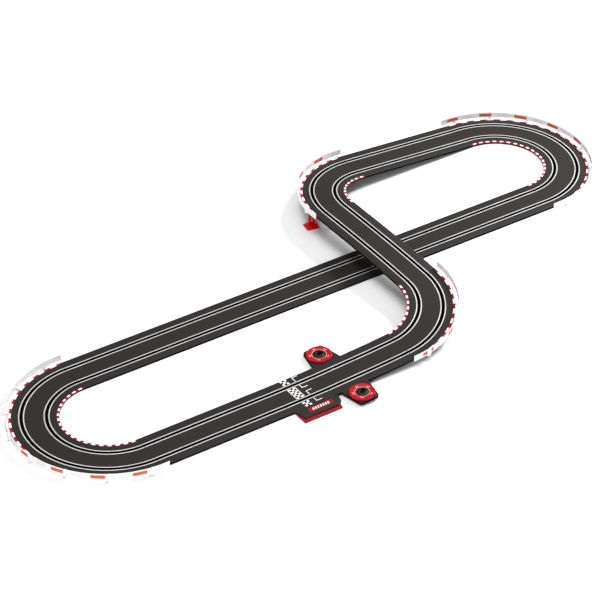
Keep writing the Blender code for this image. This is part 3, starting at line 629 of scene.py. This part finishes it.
def box_slab(bm, low, high, round_corner, rim, draw_in):
    """A slab between two corners, drawn in at its outer edge, with one round corner and soft rims."""
    flat = [bm.verts.new(co) for co in ((low.x, high.y, low.z), (low.x + draw_in, low.y, low.z),
                                        (high.x - draw_in, low.y, low.z), (high.x, high.y, low.z))]
    face = bm.faces.new(flat)
    grown = bmesh.ops.extrude_face_region(bm, geom=[face])["geom"]
    bmesh.ops.translate(bm, verts=[v for v in grown if isinstance(v, bmesh.types.BMVert)],
                        vec=(0, 0, high.z - low.z))
    corner = [e for e in bm.edges if all(abs(v.co.x - (high.x - draw_in)) < WELD
                                         and abs(v.co.y - low.y) < WELD for v in e.verts)
              and abs(e.verts[0].co.z - e.verts[1].co.z) > WELD]
    bmesh.ops.bevel(bm, geom=corner, offset=round_corner, segments=10, profile=0.5, affect="EDGES",
                    material=-1)
    rims = [e for e in bm.edges
            if all(v.co.z > high.z - WELD and v.co.y < high.y - WELD for v in e.verts)]
    bmesh.ops.bevel(bm, geom=rims, offset=rim, segments=2, profile=0.5, affect="EDGES", material=-1)


low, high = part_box("terminal_base")
bm = bmesh.new()
box_slab(bm, low, high, BASE_CORNER, BASE_RIM, 0.0)
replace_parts(finished(bm, "terminal_base_shell", [base_red_painted_shade]), "terminal_base")
low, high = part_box("terminal_cover")
bm = bmesh.new()
flush = terminal.rise(low.x - terminal.x) + THICK
box_slab(bm, low, Vector((high.x, high.y, flush)), COVER_CORNER, COVER_RIM, COVER_DRAW_IN)
for vert in bm.verts:
    vert.co.z += terminal.rise(vert.co.x - terminal.x) - terminal.rise(low.x - terminal.x)
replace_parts(finished(bm, "terminal_cover_lid", [housing_black]), "terminal_cover")
# Each socket's mouth is a thin near-black plate on its face: painted shade for the opening.
for name in ("controller_jack_1", "power_jack", "controller_jack_2"):
    low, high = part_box(name)
    bm = bmesh.new()
    made = rounded_plate(bm, (high.x - low.x) * MOUTH_SHARE[0], (high.z - low.z) * MOUTH_SHARE[1],
                         MOUTH_THICK, MOUTH_CORNER, 2)
    bmesh.ops.translate(bm, verts=made,
                        vec=((low.x + high.x) / 2, low.y + MOUTH_INSET, (low.z + high.z) / 2))
    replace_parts(finished(bm, name + "_mouth", [black_and_painted_shade]), name)


def slanted(bm, middle, width, depth, bottom, top):
    """A slanted bar or plate lying on the cover."""
    made = bmesh.ops.create_cube(bm, size=1.0)["verts"]
    bmesh.ops.scale(bm, verts=made, vec=(width, depth, top - bottom))
    for vert in made:
        vert.co.x += vert.co.y / BADGE_SIZE[1] * BADGE_SLANT
    bmesh.ops.translate(bm, verts=made, vec=(middle.x, middle.y, (top + bottom) / 2))


low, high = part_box("name_plate")
badge_middle = Vector(((low.x + high.x) / 2 + BADGE_SHIFT[0], (low.y + high.y) / 2 + BADGE_SHIFT[1], 0))
badge_foot = THICK + BADGE_LIFT
plate_bars = [(0.0, *BADGE_SIZE)]
stripe_bars = [((number - STRIPES // 2) * STRIPE_PITCH, *STRIPE_SIZE) for number in range(STRIPES)]
for name, material, bars, bottom in (("badge_plate", badge_red, plate_bars, badge_foot),
                                     ("badge_stripes", badge_white, stripe_bars,
                                      badge_foot + BADGE_THICK)):
    bm = bmesh.new()
    for shift, width, depth in bars:
        slanted(bm, badge_middle + Vector((shift, 0, 0)), width, depth, bottom, bottom + BADGE_THICK)
    for vert in bm.verts:
        vert.co.z += terminal.rise(vert.co.x - terminal.x)
    piece = finished(bm, name, [material])
    if name == "badge_plate":
        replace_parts(piece, "name_plate")

# ---- Start line
# Chequers and grid marks printed in white on the connection section's deck.
print_white = finish("printed white", (0.80, 0.80, 0.78), 0.5, 700, 0.1)
PRINT_HEIGHT = 0.00006
CHEQUER, COLUMNS, LINE_START = 0.0058, 3, 0.0385
BETWEEN_LANES = (-0.020, 0.020)
CHEQUER_SPANS = (BETWEEN_LANES, (0.0372, 0.0560), (-0.0545, -0.0372))
BORDER_WIDTH = 0.0017
BORDER_STARTS = (0.0360, LINE_START + COLUMNS * CHEQUER + 0.0008)
GRID_START, GRID_STOP, GRID_WIDTH = 0.0700, 0.0860, 0.0020
GRID_MARKS = ((0.0370, 0.0540, 0.0530), (0.0080, 0.0210, 0.0090),
              (-0.0210, -0.0050, -0.0060), (-0.0500, -0.0370, -0.0490))
bm = bmesh.new()


def printed(bm, low_x, high_x, low_y, high_y):
    """A thin printed rectangle on the deck."""
    made = bmesh.ops.create_cube(bm, size=1.0)["verts"]
    bmesh.ops.scale(bm, verts=made, vec=(high_x - low_x, high_y - low_y, PRINT_HEIGHT))
    bmesh.ops.translate(bm, verts=made, vec=((low_x + high_x) / 2, (low_y + high_y) / 2,
                                             THICK + PRINT_HEIGHT / 2))


for low, high in CHEQUER_SPANS:
    rows = round((high - low) / CHEQUER)
    side = (high - low) / rows
    for row in range(rows):
        for column in range(COLUMNS):
            if (row + column) % 2 == 0:
                printed(bm, LINE_START + column * CHEQUER, LINE_START + (column + 1) * CHEQUER,
                        low + row * side, low + (row + 1) * side)
for edge in BORDER_STARTS:
    printed(bm, edge, edge + BORDER_WIDTH, *BETWEEN_LANES)
for low, high, bar in GRID_MARKS:
    printed(bm, GRID_START, GRID_START + GRID_WIDTH, low, high)
    printed(bm, GRID_START + GRID_WIDTH, GRID_STOP, bar - GRID_WIDTH / 2, bar + GRID_WIDTH / 2)
set_down(bm, terminal)
finished(bm, "start_line_print", [print_white])

# ---- Lap counters
# A glossy red number ring sits on each housing round a black bowl, and a pointed black knob
# turns in the middle. A white ratchet, lever and steel pin work beneath.
signal_red = finish("signal red", (0.40, 0.002, 0.008), 0.30, 900, 0.10, 0.04, specular=0.2)
label_pink = finish("label pink", (0.72, 0.34, 0.34), 0.45)
lever_white = finish("lever white", (0.80, 0.80, 0.77), 0.45)
pin_steel = finish("pin steel", (0.62, 0.62, 0.62), 0.25, 500, 0.1, 0.03, metallic=1.0)
knob_black = finish("knob black", (0.0015, 0.0015, 0.0015), 0.40, 500, 0.1, 0.02, specular=0.06)
LAP_NUMBERS = ("5", "10", "15", "20", "25")
RING = ((0.0303, 0.0003), (0.0303, 0.0034), (0.0300, 0.0039), (0.0295, 0.0042), (0.0283, 0.0042),
        (0.0277, 0.0041), (0.0160, 0.0026), (0.0156, 0.0024), (0.0155, 0.0020), (0.0155, 0.0003))
RING_LINE = ((0.0175, 0.00270), (0.0175, 0.00288), (0.0169, 0.00282), (0.0169, 0.00262))
RING_SLOPE = math.atan2(0.0015, 0.0117)
BOWL = ((0.0160, 0.0004), (0.0160, 0.00272), (0.0155, 0.00272), (0.0150, 0.0022), (0.0150, 0.0004))
LABEL_RADIUS, LABEL_HEIGHT = 0.0222, 0.00342
LABEL_SIZE, LABEL_THICK, LABEL_CORNER = (0.0072, 0.0030), 0.00016, 0.0009
LABEL_TURN = math.radians(72)
NUMBER_SIZE, NUMBER_THICK, NUMBER_LIFT = 0.0030, 0.00006, 0.00009
SPIRE = ((0.0, 0.0165), (0.0006, 0.0160), (0.0016, 0.0120), (0.0028, 0.0091), (0.0052, 0.0035),
         (0.0135, 0.0026), (0.0143, 0.0021), (0.0145, 0.0016), (0.0145, 0.0006), (0.0030, 0.0006),
         (0.0030, -0.0035), (0.0, -0.0035))
SPIRE_SIDES = 64
DISC_TOP = 0.0032
FIN = ((0.001, 0.0024), (0.001, 0.0135), (0.0125, 0.0024))
FIN_HALF, FIN_RIM = 0.0009, 0.0003


def turned(bm, profile, sides=96):
    """Spin an outline of (radius, height) into a closed round piece."""
    ring = [bm.verts.new((radius, 0, up)) for radius, up in profile]
    edges = [bm.edges.new((ring[i - 1], ring[i])) for i in range(len(ring))]
    bmesh.ops.spin(bm, geom=ring + edges, cent=(0, 0, 0), axis=(0, 0, 1), angle=2 * math.pi,
                   steps=sides, use_merge=True, use_duplicate=False)
    bmesh.ops.remove_doubles(bm, verts=bm.verts, dist=WELD)


for label in ("near", "far"):
    joint = next(j for j in frame["joints"] if j["child"] == "lap_pointer_" + label)
    axis = Vector(joint["axis"])
    place = Matrix.Translation(joint["pos_m"]) @ Matrix.Rotation(math.atan2(axis.x, axis.z), 4, "Y")
    bm = bmesh.new()
    turned(bm, RING)
    bmesh.ops.transform(bm, matrix=place, verts=bm.verts)
    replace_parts(finished(bm, f"lap_ring_{label}", [signal_red]), "number_ring_" + label)
    bm = bmesh.new()
    turned(bm, RING_LINE)
    bmesh.ops.transform(bm, matrix=place, verts=bm.verts)
    finished(bm, f"ring_line_{label}", [print_white])
    bm = bmesh.new()
    turned(bm, BOWL)
    bmesh.ops.transform(bm, matrix=place, verts=bm.verts)
    finished(bm, f"ring_bowl_{label}", [black_and_painted_shade])
    lean = Matrix.Rotation(RING_SLOPE, 4, "X")
    bm = bmesh.new()
    for number in range(len(LAP_NUMBERS)):
        plate = rounded_plate(bm, *LABEL_SIZE, LABEL_THICK, LABEL_CORNER, 2)
        seat = (place @ Matrix.Rotation(LABEL_TURN * number, 4, "Z")
                @ Matrix.Translation((0, LABEL_RADIUS, LABEL_HEIGHT)) @ lean
                @ Matrix.Rotation(math.pi / 2, 4, "X"))
        bmesh.ops.transform(bm, matrix=seat, verts=plate)
    finished(bm, f"lap_labels_{label}", [label_pink])
    for number, lap in enumerate(LAP_NUMBERS):
        text = bpy.data.curves.new(f"lap_number_{lap}_{label}", "FONT")
        text.body, text.size, text.extrude = lap, NUMBER_SIZE, NUMBER_THICK
        text.align_x, text.align_y = "CENTER", "CENTER"
        letters = bpy.data.objects.new(text.name, text)
        bpy.context.scene.collection.objects.link(letters)
        bpy.context.view_layer.update()
        mesh = bpy.data.meshes.new_from_object(letters)
        bpy.data.objects.remove(letters)
        bm = bmesh.new()
        bm.from_mesh(mesh)
        seat = (place @ Matrix.Rotation(LABEL_TURN * number, 4, "Z")
                @ Matrix.Translation((0, LABEL_RADIUS, LABEL_HEIGHT + NUMBER_LIFT)) @ lean)
        bmesh.ops.transform(bm, matrix=seat, verts=bm.verts)
        finished(bm, f"lap_number_{lap}_{label}", [signal_red])
    bm = bmesh.new()
    turned(bm, SPIRE, SPIRE_SIDES)
    for face in bm.faces:
        face.material_index = int(face.calc_center_median().z < DISC_TOP)
    bmesh.ops.transform(bm, matrix=place, verts=bm.verts)
    spire = finished(bm, f"lap_knob_{label}", [knob_black, housing_black],
                     "lap_pointer_" + label)
    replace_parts(spire, "lap_pointer_" + label)
    bm = bmesh.new()
    face = bm.faces.new([bm.verts.new((out, -FIN_HALF, up)) for out, up in FIN])
    grown = bmesh.ops.extrude_face_region(bm, geom=[face])["geom"]
    bmesh.ops.translate(bm, verts=[v for v in grown if isinstance(v, bmesh.types.BMVert)],
                        vec=(0, 2 * FIN_HALF, 0))
    bmesh.ops.bevel(bm, geom=list(bm.edges), offset=FIN_RIM, segments=2, profile=0.5,
                    affect="EDGES", material=-1)
    bmesh.ops.transform(bm, matrix=place, verts=bm.verts)
    finished(bm, f"lap_knob_fin_{label}", [knob_black], "lap_pointer_" + label)
    for part, material in (("ratchet_wheel_", lever_white), ("trip_lever_", lever_white),
                           ("lever_pin_", pin_steel), ("bottom_cover_", housing_black)):
        frame["nodes"][part + label].material_slots[0].material = material

# ---- Studio
# A plain white floor in a pale room, with a soft key light from behind on the right, a large
# soft light overhead and a low fill light beside the camera.
FLOOR_REACH, FLOOR_DROP = 12, 0.0002
ROOM_LIGHT = 0.34
LIGHTS = (("key", (3.4, 0.5, 2.2), 1.0, 200), ("top", (-0.3, 0.4, 4.5), 3.5, 150),
          ("fill", (-2.6, -3.8, 0.7), 2.5, 110))
floor_mesh = bpy.data.meshes.new("floor")
bm = bmesh.new()
bmesh.ops.create_grid(bm, x_segments=1, y_segments=1, size=FLOOR_REACH)
bmesh.ops.translate(bm, verts=bm.verts, vec=(0, 0, -FLOOR_DROP))
bm.to_mesh(floor_mesh)
bm.free()
floor = bpy.data.objects.new("floor", floor_mesh)
bpy.context.scene.collection.objects.link(floor)
floor_paint = finish("studio floor", (0.90, 0.90, 0.90), 0.9, 50, 0.01, 0.0)
floor_mesh.materials.append(floor_paint)

bpy.context.scene.view_settings.view_transform = "Standard"
world = bpy.data.worlds.new("studio")
bpy.context.scene.world = world
world.use_nodes = True
world.node_tree.nodes["Background"].inputs["Color"].default_value = (1, 1, 1, 1)
world.node_tree.nodes["Background"].inputs["Strength"].default_value = ROOM_LIGHT
for name, spot, size, power in LIGHTS:
    light = bpy.data.lights.new(name, "AREA")
    light.size, light.energy = size, power
    lamp = bpy.data.objects.new(name, light)
    lamp.location = spot
    lamp.rotation_euler = Vector(spot).to_track_quat("Z", "Y").to_euler()
    bpy.context.scene.collection.objects.link(lamp)

# ---- Camera
# A long lens beyond the set's near left corner, looking down at about 35 degrees.
TURN, LIFT, ROLL = math.radians(-34.459), math.radians(35.076), math.radians(0.396)
EYE = (-3.087459, -4.400263, 3.738479)
LENS, SENSOR = 163.49, 36
FARTHEST = 100
camera = bpy.data.cameras.new("camera")
camera.lens, camera.sensor_width = LENS, SENSOR
camera.clip_end = FARTHEST
back = Vector((math.sin(TURN) * math.cos(LIFT), -math.cos(TURN) * math.cos(LIFT), math.sin(LIFT)))
right = Vector((math.cos(TURN), math.sin(TURN), 0))
up = back.cross(right)
across = math.cos(ROLL) * right + math.sin(ROLL) * up
above = math.cos(ROLL) * up - math.sin(ROLL) * right
eye = bpy.data.objects.new("camera", camera)
eye.matrix_world = (Matrix.Translation(EYE)
                    @ Matrix((across, above, back)).transposed().to_4x4())
bpy.context.scene.collection.objects.link(eye)
bpy.context.scene.camera = eye
